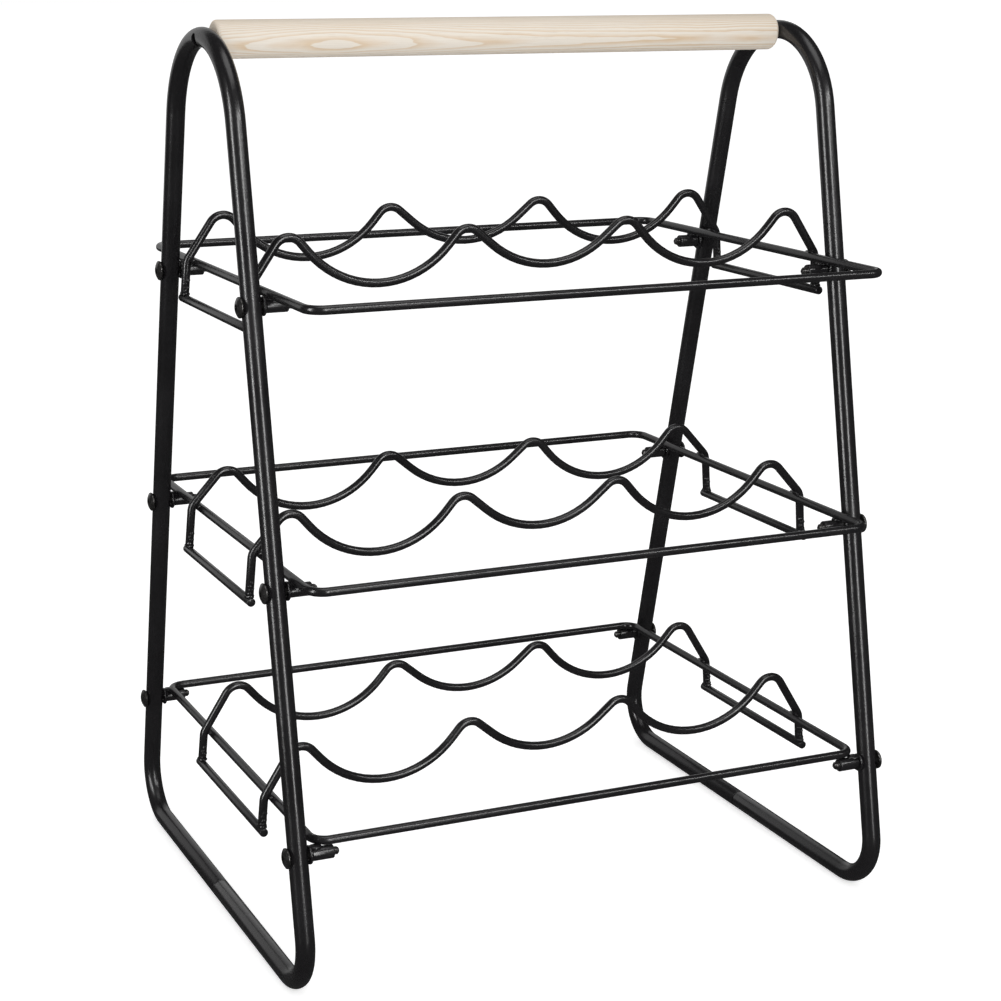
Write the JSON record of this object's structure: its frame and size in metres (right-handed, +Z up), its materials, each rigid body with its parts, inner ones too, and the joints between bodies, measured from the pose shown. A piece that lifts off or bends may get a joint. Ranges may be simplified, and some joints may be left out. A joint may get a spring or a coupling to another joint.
{
  "type": "wine rack",
  "caption": "Countertop wine rack: two splayed tube side frames joined by a wooden dowel handle and wire shelves whose wavy wires cradle lying bottles.",
  "frame": {"origin": "on the floor, at the middle of the rack's box", "axes": "+Z up; +X from the left side frame to the right one, along the handle; -Y is the front, where the bottle necks lie"},
  "size_m": [0.4194, 0.3312, 0.5665],
  "materials": {
    "powder_coat": "satin black powder coat",
    "pine": "sanded pine, clear matt finish",
    "screw_steel": "blackened steel",
    "plain_steel": "plain drawn steel"
  },
  "bodies": {
    "root": {"bottom_back_wave": "powder_coat", "bottom_front_wave": "powder_coat", "bottom_left_rod": "powder_coat", "bottom_right_rod": "powder_coat", "bottom_screw_left_back": "screw_steel", "bottom_screw_left_front": "screw_steel", "bottom_screw_right_back": "screw_steel", "bottom_screw_right_front": "screw_steel", "bottom_shelf_frame": "powder_coat", "bottom_sleeve_left_back": "powder_coat", "bottom_sleeve_left_front": "powder_coat", "bottom_sleeve_right_back": "powder_coat", "bottom_sleeve_right_front": "powder_coat", "bottom_washer_left_back": "powder_coat", "bottom_washer_left_front": "powder_coat", "bottom_washer_right_back": "powder_coat", "bottom_washer_right_front": "powder_coat", "frame_joint_left": "plain_steel", "frame_joint_right": "plain_steel", "handle": "pine", "handle_screw_left": "screw_steel", "handle_screw_right": "screw_steel", "middle_back_wave": "powder_coat", "middle_front_wave": "powder_coat", "middle_left_rod": "powder_coat", "middle_right_rod": "powder_coat", "middle_screw_left_back": "screw_steel", "middle_screw_left_front": "screw_steel", "middle_screw_right_back": "screw_steel", "middle_screw_right_front": "screw_steel", "middle_shelf_frame": "powder_coat", "middle_sleeve_left_back": "powder_coat", "middle_sleeve_left_front": "powder_coat", "middle_sleeve_right_back": "powder_coat", "middle_sleeve_right_front": "powder_coat", "middle_washer_left_back": "powder_coat", "middle_washer_left_front": "powder_coat", "middle_washer_right_back": "powder_coat", "middle_washer_right_front": "powder_coat", "side_frame_left": "powder_coat", "side_frame_right": "powder_coat", "top_back_wave": "powder_coat", "top_front_wave": "powder_coat", "top_left_rod": "powder_coat", "top_right_rod": "powder_coat", "top_screw_left_back": "screw_steel", "top_screw_left_front": "screw_steel", "top_screw_right_back": "screw_steel", "top_screw_right_front": "screw_steel", "top_shelf_frame": "powder_coat", "top_sleeve_left_back": "powder_coat", "top_sleeve_left_front": "powder_coat", "top_sleeve_right_back": "powder_coat", "top_sleeve_right_front": "powder_coat", "top_washer_left_back": "powder_coat", "top_washer_left_front": "powder_coat", "top_washer_right_back": "powder_coat", "top_washer_right_front": "powder_coat"}
  },
  "joints": []
}
